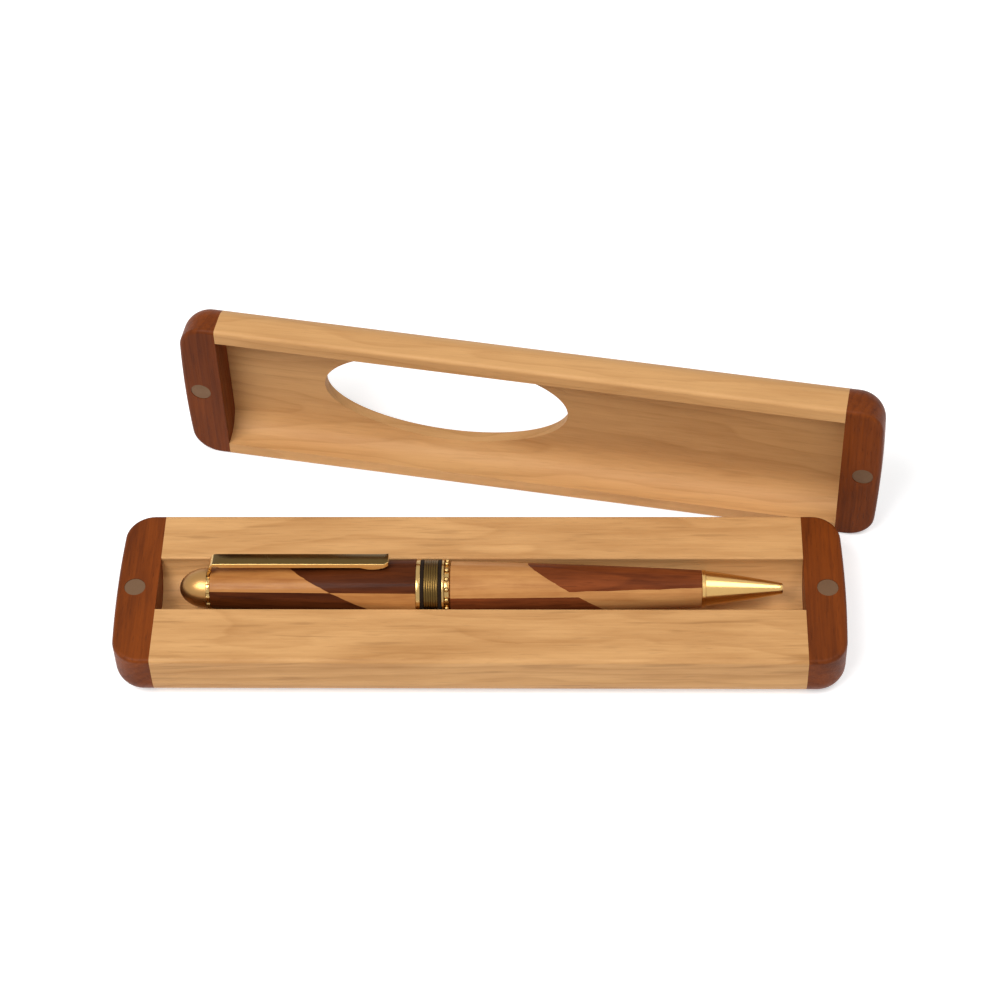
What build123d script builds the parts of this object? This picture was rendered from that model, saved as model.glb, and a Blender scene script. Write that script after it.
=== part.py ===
from build123d import *
import os
from math import cos, radians, sin

os.makedirs("parts", exist_ok=True)

# A two-part pen case, open, with its twist pen. Millimetres, Z up, X along the case, the viewer at -Y.
# The origin is the centre of the base's underside.

# Case
case_depth = 45.0
end_block_length = 9.8
base_floor = 5.7
lid_roof = 3.2
rim_width = 4.0
corner_radius = 7.0
end_bow = 0.8
edge_rounding = 6.0
rim_ease = 1.0
groove_ease = 0.4
groove_offset = 1.1
pen_offset = 0.8
cove_radius = 6.5
window_length = 62.0
window_from_rounding = 2.0
window_from_middle = 22.0
window_ease = 0.5
magnet_diameter = 5.0
magnet_thickness = 2.0
magnet_inset = 0.1
magnet_from_end = 4.3

# Where the lid stands, off the base and behind it
lid_shift = 10.6
lid_behind_base = 19.6
lid_yaw = -9.8

# Pen, along its axis from finial to nib
finial_length = 6.8
clip_ring_length = 0.9
upper_barrel_length = 49.6
band_edge_length = 1.0
inlay_length = 0.9
band_middle_length = 3.35
bead_land_length = 0.55
beaded_ring_length = 1.25
band_lip_length = 0.15
lower_barrel_length = 60.1
nib_flange_length = 1.0
nib_length = 18.4

# Pen, across its axis
upper_barrel_start_radius = 4.95
upper_barrel_end_radius = 7.0
lower_barrel_end_radius = 4.4
barrel_swell = 0.25
finial_set_back = 0.1
band_stand_out = 0.05
lower_barrel_step = 0.55
inlay_depth = 0.6
bead_web = 0.3
bead_count = 16
ring_notch_count = 14
ring_notch_depth = 0.25
nib_flange_stand_out = 0.05
nib_step = 0.2
nib_tip_radius = 1.3
nib_swell = 0.15

# Pen, the glue lines between the woods
upper_cut_share = 0.63
upper_cut_angle = 25.6
upper_cut_turn_angle = -17.0
upper_seam_angle = 63.0
lower_cut_share = 0.482
lower_cut_angle = 30.0
lower_cut_turn_angle = -25.0
lower_left_seam_angle = 74.5
lower_right_seam_angle = 62.0
lower_right_seam_tilt_angle = 1.6

# Clip
clip_roll = 14.0
clip_length = 43.9
clip_width = 4.2
clip_neck_width = 2.6
clip_thickness = 1.15
clip_standoff = 0.55
clip_lean = 1.3
clip_bump_length = 5.8
clip_tip_lift = 0.35
clip_tip_length = 1.0
clip_bend_radius = 0.8
clip_end_rounding = 0.45

# Pen, inside
tube_outer_radius = 3.5
tube_wall = 0.3
spigot_length = 6.0
collar_wall = 0.28
collar_in_tube = 18.0
twist_body_in_lower = 21.5
twist_body_wall = 0.6
plunger_length = 15.0
plunger_from_back = 3.0
plunger_floor = 3.0
refill_radius = 1.55
refill_wall = 0.3
refill_tip_radius = 0.95
refill_tip_length = 12.0
refill_point_length = 1.2
refill_point_radius = 0.35
refill_stem_length = 4.0
refill_retreat = 0.5
refill_travel = 2.5
nib_stub_length = 6.0
nib_bore_cone_length = 3.5
refill_front_room = 1.0

# Clearances
pen_end_room = 5.2
pen_side_room = 0.7
pen_sink = 1.45
rest_gap = 0.3
clip_room = 0.45
turning_gap = 0.1
running_fit = 0.05
press_fit = 0.02
glue_line = 0.05

# Places along the pen, worked out from its lengths
band_length = (
    band_edge_length + 2 * inlay_length + band_middle_length
    + bead_land_length + beaded_ring_length + band_lip_length
)
pen_length = (
    finial_length + clip_ring_length + upper_barrel_length + band_length
    + turning_gap + lower_barrel_length + nib_flange_length + nib_length
)
finial_tip_x = -pen_length / 2
finial_end_x = finial_tip_x + finial_length
ring_end_x = finial_end_x + clip_ring_length
band_start_x = ring_end_x + upper_barrel_length
band_end_x = band_start_x + band_length
lower_start_x = band_end_x + turning_gap
lower_end_x = lower_start_x + lower_barrel_length
nib_start_x = lower_end_x + nib_flange_length
nib_tip_x = nib_start_x + nib_length
first_inlay_x = band_start_x + band_edge_length
second_inlay_x = first_inlay_x + inlay_length + band_middle_length
beads_x = second_inlay_x + inlay_length + bead_land_length
refill_point_x = nib_tip_x - refill_retreat
refill_shoulder_x = refill_point_x - refill_tip_length

# Radii outside the pen, worked out from the barrels' ends
clip_ring_radius = upper_barrel_start_radius
finial_radius = clip_ring_radius - finial_set_back
band_radius = upper_barrel_end_radius + band_stand_out
lower_barrel_start_radius = band_radius - lower_barrel_step
nib_flange_radius = lower_barrel_end_radius + nib_flange_stand_out
nib_start_radius = nib_flange_radius - nib_step

# Radii inside the pen
tube_inner_radius = tube_outer_radius - tube_wall
barrel_bore_radius = tube_outer_radius + glue_line
pressed_radius = tube_inner_radius - press_fit
collar_inner_radius = pressed_radius - collar_wall
neck_radius = collar_inner_radius - running_fit
twist_bore_radius = neck_radius - twist_body_wall
plunger_radius = twist_bore_radius - running_fit
refill_bore_radius = refill_radius + 4 * running_fit
tip_bore_radius = refill_tip_radius + running_fit

# Clip, measured from the pen's axis
clip_bottom = upper_barrel_end_radius + clip_standoff
clip_top = clip_bottom + clip_thickness

# Case, worked out from the pen that it holds
groove_length = pen_length + 2 * pen_end_room
case_length = groove_length + 2 * end_block_length
groove_width = 2 * (band_radius + pen_side_room)
groove_depth = pen_sink + band_radius + rest_gap
base_height = groove_depth + base_floor
clip_height = clip_top * cos(radians(clip_roll)) + clip_width / 2 * sin(radians(clip_roll)) - pen_sink
recess_depth = clip_height + clip_room
recess_width = case_depth - 2 * rim_width
window_width = case_depth - 2 * (edge_rounding + window_from_rounding)
lid_height = recess_depth + lid_roof
pen_axis_z = base_height - pen_sink
magnet_x = case_length / 2 - magnet_from_end

# The closed lid is modelled with its mating face at z = 0 and its roof up, then stood on its rear long side
lid_place = (
    Pos(lid_shift, case_depth / 2 + lid_behind_base, 0)
    * Rot(0, 0, lid_yaw)
    * Rot(-90, 0, 0)
    * Pos(0, -case_depth / 2, 0)
)
# The pen is modelled on the X axis with its clip at +Z, then rolled back and laid in the groove
pen_place = Pos(0, pen_offset, pen_axis_z) * Rot(-clip_roll, 0, 0)


def save(name, shape, place=Pos(0, 0, 0)):
    """Writes one sub-part where it belongs."""
    export_step(place * shape, f"parts/{name}.step")


def radial(angle):
    """Unit vector across the pen's axis, turned from the clip's side towards the viewer."""
    return Vector(0, -sin(radians(angle)), cos(radians(angle)))


def ring(start, end, inner, outer):
    """Plain tube or disc round the pen's axis."""
    body = Pos((start + end) / 2, 0, 0) * Rot(0, 90, 0) * Cylinder(outer, end - start)
    if inner > 0:
        body -= Pos((start + end) / 2, 0, 0) * Rot(0, 90, 0) * Cylinder(inner, 2 * (end - start))
    return body


def half_blank(height):
    """Half of the case as one block: mating face at z = 0, outer face at z = height."""
    half_length = case_length / 2 - end_bow
    half_depth = case_depth / 2
    bow_radius = -(half_depth**2 + end_bow**2) / (2 * end_bow)
    rounding = min(edge_rounding, 0.9 * corner_radius, 0.8 * (height - rim_ease))
    with BuildPart() as blank:
        with BuildSketch() as outline:
            with BuildLine():
                Line((-half_length, -half_depth), (half_length, -half_depth))
                RadiusArc((half_length, -half_depth), (half_length, half_depth), bow_radius)
                Line((half_length, half_depth), (-half_length, half_depth))
                RadiusArc((-half_length, half_depth), (-half_length, -half_depth), bow_radius)
            make_face()
            fillet(outline.vertices(), corner_radius)
        extrude(amount=height)
        fillet(blank.faces().sort_by(Axis.Z)[-1].edges(), rounding)
        fillet(blank.faces().sort_by(Axis.Z)[0].edges(), rim_ease)
    return blank.part


def cut_in_three(blank):
    """The maple body and the two end blocks, left and right, of one half."""
    middle = Box(groove_length, 2 * case_depth, 4 * (base_height + lid_height))
    left, right = (blank - middle).solids().sort_by(Axis.X)
    return blank & middle, left, right


def magnet_pocket(side, face_z, inward):
    """Blind hole for a magnet, from a mating face inwards, at the left (-1) or right (1) end."""
    depth = magnet_thickness + magnet_inset
    radius = magnet_diameter / 2 + glue_line
    return Pos(side * magnet_x, 0, face_z + inward * depth / 2) * Cylinder(radius, depth)


def magnet(side, face_z, inward):
    """Disc magnet on the floor of its pocket."""
    depth = magnet_inset + magnet_thickness / 2
    return Pos(side * magnet_x, 0, face_z + inward * depth) * Cylinder(magnet_diameter / 2, magnet_thickness)


def pen_groove():
    """Round-bottomed groove, open at the top of the base."""
    radius = groove_width / 2
    arc_z = base_height - groove_depth + radius
    with BuildPart() as groove:
        with BuildSketch(Plane.YZ):
            with Locations((groove_offset, arc_z)):
                Circle(radius)
            with Locations((groove_offset, arc_z + base_height / 2)):
                Rectangle(2 * radius, base_height)
        extrude(amount=groove_length, both=True)
    return groove.part


def make_base():
    body, left, right = cut_in_three(Pos(0, 0, base_height) * Rot(180, 0, 0) * half_blank(base_height))
    body -= pen_groove()
    rims = body.edges().filter_by(Axis.X).group_by(Axis.Z)[-1]
    inner_rims = rims.sort_by(lambda edge: abs(edge.center().Y - groove_offset))[:2]
    save("base_body", fillet(inner_rims, groove_ease))
    for name, block, side in (("left", left, -1), ("right", right, 1)):
        save(f"base_end_{name}", block - magnet_pocket(side, base_height, -1))
        save(f"base_magnet_{name}", magnet(side, base_height, -1))


def lid_recess():
    """Wide recess with coved sides, open at the lid's mating face."""
    with BuildPart() as recess:
        with BuildSketch(Plane.YZ) as section:
            Rectangle(recess_width, 2 * recess_depth)
            fillet(section.vertices().group_by(Axis.Y)[-1], cove_radius)
        extrude(amount=groove_length, both=True)
    return recess.part


def lid_window():
    """Oval hole right through the lid's roof, left of the middle."""
    with BuildPart() as window:
        with BuildSketch(Plane.XY):
            with Locations((-window_from_middle, 0)):
                Ellipse(window_length / 2, window_width / 2)
        extrude(amount=2 * lid_height)
    return window.part


def make_lid():
    body, left, right = cut_in_three(half_blank(lid_height))
    body = body - lid_recess() - lid_window()
    roof = body.faces().sort_by(Axis.Z)[-1]
    save("lid_body", fillet(roof.inner_wires()[0].edges(), window_ease), lid_place)
    for name, block, side in (("left", left, -1), ("right", right, 1)):
        save(f"lid_end_{name}", block - magnet_pocket(side, 0, 1), lid_place)
        save(f"lid_magnet_{name}", magnet(side, 0, 1), lid_place)


def turned_barrel(start, end, start_radius, end_radius):
    """Barrel with a slightly swelled outside, bored for its brass tube."""
    middle = ((start + end) / 2, (start_radius + end_radius) / 2 + barrel_swell)
    with BuildPart() as barrel:
        with BuildSketch():
            with BuildLine():
                Line((start, barrel_bore_radius), (start, start_radius))
                ThreePointArc((start, start_radius), middle, (end, end_radius))
                Line((end, end_radius), (end, barrel_bore_radius))
                Line((end, barrel_bore_radius), (start, barrel_bore_radius))
            make_face()
        revolve(axis=Axis.X)
    return barrel.part


def glue_plane(x, angle, turn_angle):
    """Plane through the pen's axis at x, at an angle to the axis, that faces the turned direction."""
    facing = Vector(1, 0, 0) * sin(radians(angle)) + radial(turn_angle) * cos(radians(angle))
    return Plane(origin=(x, 0, 0), z_dir=facing)


def save_woods(name, barrel, cut, left_seam, right_seam):
    """Splits a barrel at the oblique glue line, and each part along its length, into the two woods."""
    left = split(barrel, bisect_by=cut, keep=Keep.BOTTOM)
    right = split(barrel, bisect_by=cut, keep=Keep.TOP)
    save(f"{name}_maple_rear", split(left, bisect_by=left_seam, keep=Keep.TOP), pen_place)
    save(f"{name}_rosewood_front", split(left, bisect_by=left_seam, keep=Keep.BOTTOM), pen_place)
    save(f"{name}_rosewood_rear", split(right, bisect_by=right_seam, keep=Keep.TOP), pen_place)
    save(f"{name}_maple_front", split(right, bisect_by=right_seam, keep=Keep.BOTTOM), pen_place)


def make_barrels():
    upper = turned_barrel(ring_end_x, band_start_x, upper_barrel_start_radius, upper_barrel_end_radius)
    upper_cut_x = ring_end_x + upper_cut_share * upper_barrel_length
    upper_cut = glue_plane(upper_cut_x, upper_cut_angle, upper_cut_turn_angle)
    upper_seam = glue_plane(upper_cut_x, 0, upper_seam_angle - 90)
    save_woods("upper_barrel", upper, upper_cut, upper_seam, upper_seam)
    lower = turned_barrel(lower_start_x, lower_end_x, lower_barrel_start_radius, lower_barrel_end_radius)
    lower_cut_x = lower_start_x + lower_cut_share * lower_barrel_length
    lower_cut = glue_plane(lower_cut_x, lower_cut_angle, lower_cut_turn_angle)
    left_seam = glue_plane(lower_cut_x, 0, lower_left_seam_angle - 90)
    right_seam = glue_plane(lower_cut_x, -lower_right_seam_tilt_angle, lower_right_seam_angle - 90)
    save_woods("lower_barrel", lower, lower_cut, left_seam, right_seam)
    save("upper_tube", ring(ring_end_x, band_start_x, tube_inner_radius, tube_outer_radius), pen_place)
    save("lower_tube", ring(lower_start_x, lower_end_x, tube_inner_radius, tube_outer_radius), pen_place)


def make_finial():
    """Domed cap with the spigot that is pressed into the upper tube."""
    with BuildPart() as finial:
        with BuildSketch():
            with BuildLine():
                EllipticalCenterArc((finial_end_x, 0), finial_length, finial_radius, start_angle=90)
                Line((finial_tip_x, 0), (finial_end_x, 0))
                Line((finial_end_x, 0), (finial_end_x, finial_radius))
            make_face()
        revolve(axis=Axis.X)
    spigot = ring(finial_end_x, ring_end_x + spigot_length, 0, pressed_radius)
    save("finial", finial.part + spigot, pen_place)


def make_clip_ring():
    """Knurled ring on the finial's spigot, slotted for the clip's leg."""
    body = ring(finial_end_x, ring_end_x, pressed_radius + glue_line, clip_ring_radius)
    notch = ring(finial_end_x - clip_ring_length, ring_end_x + clip_ring_length, 0, 2 * ring_notch_depth)
    for number in range(ring_notch_count):
        angle = (number + 0.5) * 360 / ring_notch_count
        body -= Rot(angle, 0, 0) * Pos(0, 0, clip_ring_radius + ring_notch_depth) * notch
    slot_height = 2 * clip_ring_radius
    slot = Pos(finial_end_x, 0, clip_slot_floor() + slot_height / 2) * Box(
        4 * clip_ring_length, clip_neck_width + 4 * turning_gap, slot_height
    )
    save("clip_ring", body - slot, pen_place)


def clip_slot_floor():
    """Bottom of the clip ring's slot, halfway through the ring's wall."""
    return (pressed_radius + clip_ring_radius) / 2


def upper_barrel_radius(x):
    """Outside of the upper barrel at a place along the pen."""
    share = (x - ring_end_x) / upper_barrel_length
    taper = upper_barrel_end_radius - upper_barrel_start_radius
    return upper_barrel_start_radius + taper * share + 4 * barrel_swell * share * (1 - share)


def make_clip():
    """Sprung clip: a narrow leg in the ring's slot, a straight arm, a contact bump and a turned-up tip."""
    root_x = finial_end_x + turning_gap
    leg_x = ring_end_x - turning_gap
    tip_x = root_x + clip_length
    bump_end_x = tip_x - clip_tip_length
    bump_start_x = bump_end_x - clip_bump_length
    bump_x = (bump_start_x + bump_end_x) / 2
    bump_bottom = upper_barrel_radius(bump_x) + rest_gap
    leg_bottom = clip_slot_floor() + turning_gap
    inner_lean = clip_lean * (clip_bottom - clip_ring_radius) / (clip_top - clip_ring_radius)
    with BuildPart() as clip:
        with BuildSketch(Plane.XZ) as side:
            with BuildLine():
                Polyline(
                    (leg_x, leg_bottom),
                    (root_x, leg_bottom),
                    (root_x, clip_ring_radius),
                    (root_x + clip_lean, clip_top),
                    (bump_end_x, clip_top),
                    (tip_x, clip_top + clip_tip_lift),
                    (tip_x, clip_bottom + clip_tip_lift),
                    (bump_end_x, clip_bottom),
                )
                ThreePointArc((bump_end_x, clip_bottom), (bump_x, bump_bottom), (bump_start_x, clip_bottom))
                Polyline(
                    (bump_start_x, clip_bottom),
                    (leg_x + inner_lean, clip_bottom),
                    (leg_x, clip_ring_radius),
                    (leg_x, leg_bottom),
                )
            make_face()
            fillet(side.vertices().sort_by_distance((root_x + clip_lean, clip_top, 0))[0], clip_bend_radius)
        extrude(amount=clip_width / 2, both=True)
        fillet(clip.faces().sort_by(Axis.X)[-1].edges().filter_by(Axis.Z), clip_end_rounding * clip_width)
    neck_height = clip_bottom - leg_bottom
    neck_length = 2 * (leg_x + inner_lean - root_x)
    shoulders = Pos(root_x, 0, leg_bottom + neck_height / 2) * (
        Box(neck_length, clip_width, neck_height) - Box(neck_length, clip_neck_width, neck_height)
    )
    save("clip", clip.part - shoulders, pen_place)


def make_band():
    """Gold centre band on the twist collar, with its black inlays and its ring of beads."""
    bore = pressed_radius + glue_line
    band = ring(band_start_x, beads_x + beaded_ring_length, bore, band_radius)
    lip = Pos(beads_x + beaded_ring_length + band_lip_length / 2, 0, 0) * Rot(0, 90, 0) * Cone(
        band_radius, lower_barrel_start_radius, band_lip_length
    )
    lip -= ring(band_start_x, lower_start_x, 0, bore)
    band += lip
    for name, start in (("left", first_inlay_x), ("right", second_inlay_x)):
        floor = band_radius - inlay_depth
        band -= ring(start, start + inlay_length, floor, 2 * band_radius)
        save(f"band_inlay_{name}", ring(start, start + inlay_length, floor, band_radius), pen_place)
    bead_radius = beaded_ring_length / 2
    bead_floor = band_radius - 2 * bead_radius
    band -= ring(beads_x, beads_x + beaded_ring_length, bead_floor, 2 * band_radius)
    save("centre_band", band, pen_place)
    beads = ring(beads_x, beads_x + beaded_ring_length, bead_floor, bead_floor + bead_web)
    bead = Pos(beads_x + bead_radius, 0, band_radius - bead_radius) * Sphere(bead_radius)
    for number in range(bead_count):
        beads += Rot((number + 0.5) * 360 / bead_count, 0, 0) * bead
    save("beaded_ring", beads, pen_place)


def make_twist():
    """The mechanism: a collar in the upper tube, a body in the lower tube, and a plunger for the refill."""
    back_x = band_start_x - collar_in_tube
    save("twist_collar", ring(back_x, band_end_x, collar_inner_radius, pressed_radius), pen_place)
    neck = ring(back_x + running_fit, lower_start_x, twist_bore_radius, neck_radius)
    pressed = ring(lower_start_x, lower_start_x + twist_body_in_lower, twist_bore_radius, pressed_radius)
    save("twist_body", neck + pressed, pen_place)
    plunger_x = back_x + plunger_from_back
    plunger = ring(plunger_x, plunger_x + plunger_length, 0, plunger_radius)
    socket = ring(plunger_x + plunger_floor, plunger_x + 2 * plunger_length, 0, refill_radius + press_fit)
    save("twist_plunger", plunger - socket, pen_place)
    return plunger_x + plunger_floor


def make_refill(back_x):
    """Ink tube and writing tip, with the point drawn back inside the nib."""
    bore = refill_radius - refill_wall
    save("refill_tube", ring(back_x, refill_shoulder_x, bore, refill_radius), pen_place)
    with BuildPart() as tip:
        with BuildSketch():
            with BuildLine():
                Polyline(
                    (refill_shoulder_x - refill_stem_length, 0),
                    (refill_shoulder_x - refill_stem_length, bore - press_fit),
                    (refill_shoulder_x, bore - press_fit),
                    (refill_shoulder_x, refill_tip_radius),
                    (refill_point_x - refill_point_length, refill_tip_radius),
                    (refill_point_x, refill_point_radius),
                    (refill_point_x, 0),
                    close=True,
                )
            make_face()
        revolve(axis=Axis.X)
    save("refill_tip", tip.part, pen_place)


def make_nib():
    """Gold cone with a flange, a stub pressed into the lower tube and a stepped bore for the refill."""
    bore_end_x = refill_shoulder_x + refill_travel + refill_front_room
    nose_x = bore_end_x + nib_bore_cone_length
    swell_point = ((nib_start_x + nib_tip_x) / 2, (nib_start_radius + nib_tip_radius) / 2 + nib_swell)
    with BuildPart() as nib:
        with BuildSketch():
            with BuildLine():
                Polyline(
                    (nib_tip_x, nib_tip_radius),
                    (nib_tip_x, tip_bore_radius),
                    (nose_x, tip_bore_radius),
                    (bore_end_x, refill_bore_radius),
                    (lower_end_x - nib_stub_length, refill_bore_radius),
                    (lower_end_x - nib_stub_length, pressed_radius),
                    (lower_end_x, pressed_radius),
                    (lower_end_x, nib_flange_radius),
                    (nib_start_x, nib_flange_radius),
                    (nib_start_x, nib_start_radius),
                )
                ThreePointArc((nib_start_x, nib_start_radius), swell_point, (nib_tip_x, nib_tip_radius))
            make_face()
        revolve(axis=Axis.X)
    save("nib", nib.part, pen_place)


make_base()
make_lid()
make_finial()
make_clip_ring()
make_clip()
make_barrels()
make_band()
make_refill(make_twist())
make_nib()
closed_height = base_height + lid_height
print(f"case {case_length:.1f} x {case_depth:.1f} x {closed_height:.1f} closed, pen {pen_length:.1f} long")
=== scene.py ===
from math import atan2, cos, pi, radians, sin
from typing import NamedTuple

import bpy
from bpy.props import FloatProperty, FloatVectorProperty, IntProperty, PointerProperty
from mathutils import Matrix, Vector


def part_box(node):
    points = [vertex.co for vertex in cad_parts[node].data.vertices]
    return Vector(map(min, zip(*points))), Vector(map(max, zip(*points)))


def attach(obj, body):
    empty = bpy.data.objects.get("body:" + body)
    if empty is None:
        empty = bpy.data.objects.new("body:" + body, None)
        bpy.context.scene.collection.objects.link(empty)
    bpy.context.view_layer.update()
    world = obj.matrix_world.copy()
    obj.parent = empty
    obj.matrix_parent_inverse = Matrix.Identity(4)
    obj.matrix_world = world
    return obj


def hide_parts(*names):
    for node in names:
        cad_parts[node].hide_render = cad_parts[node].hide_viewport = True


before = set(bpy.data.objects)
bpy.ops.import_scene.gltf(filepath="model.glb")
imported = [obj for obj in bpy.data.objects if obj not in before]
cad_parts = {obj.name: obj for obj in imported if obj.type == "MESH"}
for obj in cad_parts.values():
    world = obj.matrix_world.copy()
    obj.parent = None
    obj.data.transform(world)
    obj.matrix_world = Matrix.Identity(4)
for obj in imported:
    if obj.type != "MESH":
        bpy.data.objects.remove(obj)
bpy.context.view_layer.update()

bl_info = {
    "name": "Pen case",
    "version": (1, 0, 0),
    "blender": (4, 5, 0),
    "location": "3D View > Sidebar > Pen case",
    "description": "Dresses a two-wood pen case and the twist pen that lies in it",
    "category": "Object",
}

MM = 0.001
LID_TURN = radians(-9.8)
CLIP_ROLL = radians(14.0)
TURNING_SEGMENTS = 96
# radii in the pen
TUBE_RADIUS = 3.55 * MM
STUB_RADIUS = 3.1 * MM
RING_BORE = 3.23 * MM
CLIP_RING_RADIUS = 4.95 * MM


def node_span(name):
    """Lowest and highest x of a CAD node."""
    low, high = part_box(name)
    return low.x, high.x


def pen_axis():
    """A point on the pen's axis, from the band that goes right round it."""
    low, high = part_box("centre_band")
    return Vector((0, (low.y + high.y) / 2, (low.z + high.z) / 2))


PEN_PLACE = Matrix.Translation(pen_axis()) @ Matrix.Rotation(-CLIP_ROLL, 4, "X")


# Sizes and colours that a user may change

class PencaseWoods(bpy.types.PropertyGroup):
    maple_light: FloatVectorProperty(
        name="Maple", description="Light wood of the case between its growth lines",
        subtype="COLOR", size=3, min=0, max=1, default=(0.67, 0.37, 0.148),
    )
    maple_dark: FloatVectorProperty(
        name="Maple streaks", description="Darker streaks and growth lines of the case's light wood",
        subtype="COLOR", size=3, min=0, max=1, default=(0.44, 0.212, 0.071),
    )
    rosewood_light: FloatVectorProperty(
        name="Rosewood", description="Red wood of the end blocks",
        subtype="COLOR", size=3, min=0, max=1, default=(0.222, 0.048, 0.006),
    )
    rosewood_dark: FloatVectorProperty(
        name="Rosewood streaks", description="Dark streaks of the end blocks",
        subtype="COLOR", size=3, min=0, max=1, default=(0.075, 0.015, 0.003),
    )
    pen_maple_light: FloatVectorProperty(
        name="Pen maple", description="Light wood of the pen's barrels",
        subtype="COLOR", size=3, min=0, max=1, default=(0.58, 0.28, 0.095),
    )
    pen_maple_dark: FloatVectorProperty(
        name="Pen maple streaks", description="Streaks in the light wood of the pen's barrels",
        subtype="COLOR", size=3, min=0, max=1, default=(0.36, 0.14, 0.04),
    )
    pen_rosewood_light: FloatVectorProperty(
        name="Pen rosewood", description="Dark wood of the pen's barrels",
        subtype="COLOR", size=3, min=0, max=1, default=(0.17, 0.042, 0.012),
    )
    pen_rosewood_dark: FloatVectorProperty(
        name="Pen rosewood streaks", description="Streaks in the dark wood of the pen's barrels",
        subtype="COLOR", size=3, min=0, max=1, default=(0.055, 0.012, 0.004),
    )
    growth_gap: FloatProperty(
        name="Growth line gap", description="Mean distance between growth lines of the case's maple",
        subtype="DISTANCE", unit="LENGTH", min=0.0005, max=0.02, default=0.0026,
    )


class PencaseFittings(bpy.types.PropertyGroup):
    gold: FloatVectorProperty(
        name="Gold", description="Polished gold plate of the pen's fittings",
        subtype="COLOR", size=3, min=0, max=1, default=(0.50, 0.32, 0.12),
    )
    inlay: FloatVectorProperty(
        name="Inlay", description="Black enamel rings of the centre band",
        subtype="COLOR", size=3, min=0, max=1, default=(0.014, 0.008, 0.005),
    )
    magnet: FloatVectorProperty(
        name="Magnet", description="Dull nickel plate of the disc magnets",
        subtype="COLOR", size=3, min=0, max=1, default=(0.19, 0.11, 0.062),
    )
    brass: FloatVectorProperty(
        name="Brass", description="Bare brass inside the pen",
        subtype="COLOR", size=3, min=0, max=1, default=(0.60, 0.43, 0.17),
    )
    arris: FloatProperty(
        name="Metal edge softness", description="Rounding of the edges of the gold fittings",
        subtype="DISTANCE", unit="LENGTH", min=0.00002, max=0.0003, default=0.00012,
    )


class PencaseStage(bpy.types.PropertyGroup):
    camera_place: FloatVectorProperty(
        name="Camera place", description="Where the camera stands",
        subtype="TRANSLATION", unit="LENGTH", size=3, default=(0.02754, -0.43141, 0.55392),
    )
    camera_pitch: FloatProperty(
        name="Camera pitch", description="How far the camera looks down",
        subtype="ANGLE", unit="ROTATION", default=radians(49.58),
    )
    camera_yaw: FloatProperty(
        name="Camera yaw", description="How far the camera looks to the left",
        subtype="ANGLE", unit="ROTATION", default=radians(2.91),
    )
    camera_roll: FloatProperty(
        name="Camera roll", description="How far the camera is rolled",
        subtype="ANGLE", unit="ROTATION", default=radians(-2.22),
    )
    camera_lens: FloatProperty(
        name="Camera lens", description="Focal length on a 36 mm wide sensor",
        subtype="DISTANCE_CAMERA", unit="CAMERA", min=20, max=300, default=103.67,
    )
    key_power: FloatProperty(
        name="Key light", description="Power of the large soft light above and before the case, on the left",
        subtype="POWER", unit="POWER", min=0, max=100, default=9.0,
    )
    fill_power: FloatProperty(
        name="Fill light", description="Power of the soft light above the case, on the right",
        subtype="POWER", unit="POWER", min=0, max=100, default=3.8,
    )
    floor_size: FloatProperty(
        name="Floor size", description="Side of the square floor",
        subtype="DISTANCE", unit="LENGTH", min=1, max=20, default=8.0,
    )
    room_level: FloatProperty(
        name="Room light", description="Strength of the even light from all round",
        min=0, max=2, default=0.24,
    )


# Modelling helpers

def deselect():
    """Leaves edit mode and selects nothing."""
    if bpy.context.object and bpy.context.object.mode != "OBJECT":
        bpy.ops.object.mode_set(mode="OBJECT")
    bpy.ops.object.select_all(action="DESELECT")


def select_only(piece):
    deselect()
    piece.select_set(True)
    bpy.context.view_layer.objects.active = piece


def edit(piece, mode="VERT"):
    """Opens a piece in edit mode with all of it selected."""
    select_only(piece)
    bpy.ops.object.mode_set(mode="EDIT")
    bpy.ops.mesh.select_mode(type=mode)
    bpy.ops.mesh.select_all(action="SELECT")


def edit_where(piece, test):
    """Opens a piece in edit mode with only the vertices selected whose place passes the test."""
    edit(piece)
    bpy.ops.mesh.select_all(action="DESELECT")
    bpy.ops.object.mode_set(mode="OBJECT")
    for vertex in piece.data.vertices:
        vertex.select = test(vertex.co)
    bpy.ops.object.mode_set(mode="EDIT")


def tidy_mesh(piece, smooth_angle=35):
    """Merges doubles, turns every face outwards and smooths all but the sharp edges."""
    edit(piece)
    bpy.ops.mesh.remove_doubles(threshold=0.001 * MM)
    bpy.ops.mesh.normals_make_consistent(inside=False)
    bpy.ops.object.mode_set(mode="OBJECT")
    bpy.ops.object.shade_smooth_by_angle(angle=radians(smooth_angle))


def turned(name, profile, hollow=False, segments=TURNING_SEGMENTS):
    """A piece turned about the X axis: each ring (x, radius) is extruded from the last one."""
    deselect()
    x, radius = profile[0]
    bpy.ops.mesh.primitive_circle_add(
        vertices=segments, radius=radius, fill_type="NOTHING" if hollow else "NGON",
        location=(x, 0, 0), rotation=(0, radians(90), 0),
    )
    piece = bpy.context.object
    piece.name = name
    bpy.ops.object.transform_apply(location=True, rotation=True, scale=True)
    edit(piece, "EDGE" if hollow else "FACE")
    for next_x, next_radius in profile[1:]:
        bpy.ops.mesh.extrude_region_move(TRANSFORM_OT_translate={"value": (next_x - x, 0, 0)})
        growth = next_radius / radius
        bpy.ops.transform.resize(value=(1, growth, growth), center_override=(next_x, 0, 0))
        x, radius = next_x, next_radius
    if hollow:
        bpy.ops.mesh.select_non_manifold(
            extend=False, use_wire=False, use_boundary=True, use_multi_face=False, use_non_contiguous=False,
            use_verts=False,
        )
        bpy.ops.mesh.bridge_edge_loops()
    bpy.ops.object.mode_set(mode="OBJECT")
    return piece


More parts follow.
